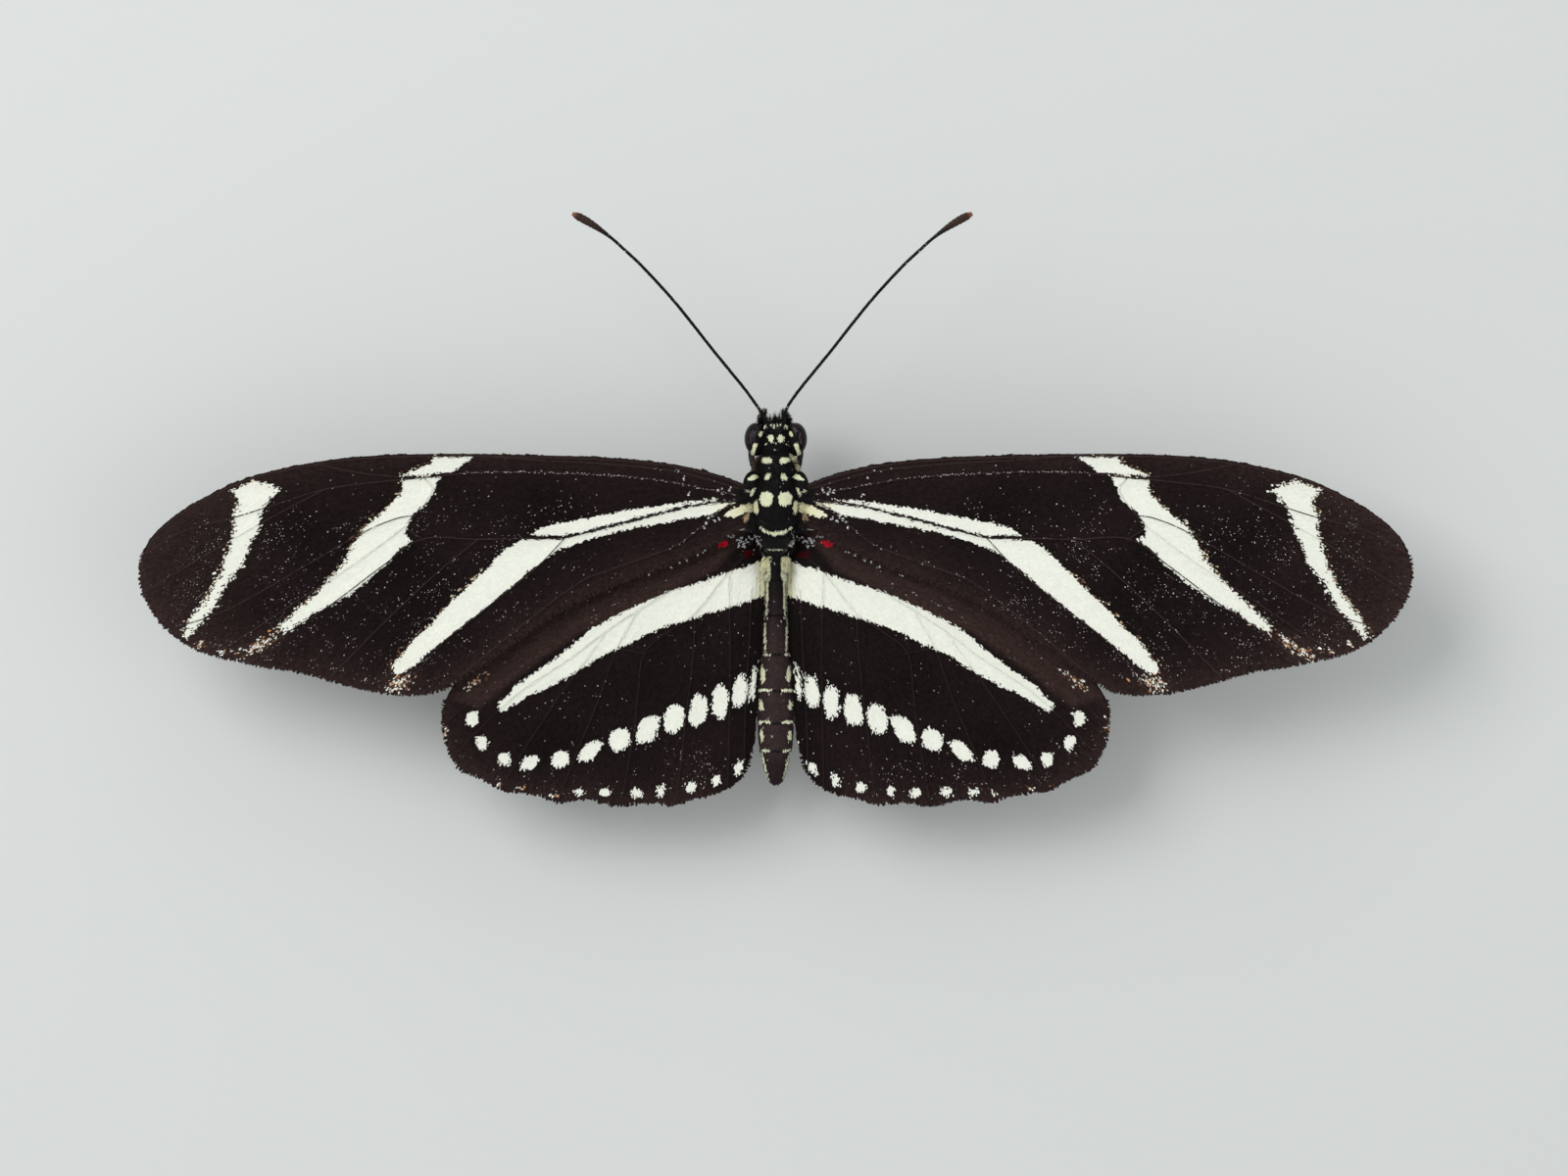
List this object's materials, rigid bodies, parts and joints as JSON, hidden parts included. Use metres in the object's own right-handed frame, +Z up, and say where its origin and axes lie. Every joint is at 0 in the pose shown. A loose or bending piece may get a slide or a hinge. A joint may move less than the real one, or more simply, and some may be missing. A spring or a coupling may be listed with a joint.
{
  "type": "zebra longwing butterfly",
  "caption": "Life-size butterfly with long rounded striped wings spread flat, slim body, clubbed antennae and coiled tongue, standing on its slender legs.",
  "frame": {"origin": "on the ground that the feet stand on, under the middle of the whole animal's box", "axes": "+Z up, +Y towards the head, +X towards the tip of the right wing"},
  "size_m": [0.083, 0.0388, 0.0108],
  "materials": {
    "body": "short dark hair with pale spots",
    "wing": "matt dark scales with pale yellow bands",
    "eye": "glossy, finely faceted",
    "antenna": "satin, ringed, with a brown tip",
    "leg": "satin dark scales",
    "proboscis": "satin brown"
  },
  "bodies": {
    "root": {"head": "body", "thorax": "body", "abdomen": "body", "palp_left": "body", "palp_right": "body", "eye_left": "eye", "eye_right": "eye", "antenna_left": "antenna", "antenna_right": "antenna", "proboscis": "proboscis", "forewing_left": "wing", "forewing_right": "wing", "hindwing_left": "wing", "hindwing_right": "wing", "foreleg_left": "leg", "foreleg_right": "leg", "midleg_femur_left": "leg", "midleg_femur_right": "leg", "midleg_tibia_left": "leg", "midleg_tibia_right": "leg", "midleg_tarsus_left": "leg", "midleg_tarsus_right": "leg", "hindleg_femur_left": "leg", "hindleg_femur_right": "leg", "hindleg_tibia_left": "leg", "hindleg_tibia_right": "leg", "hindleg_tarsus_left": "leg", "hindleg_tarsus_right": "leg"}
  },
  "joints": []
}
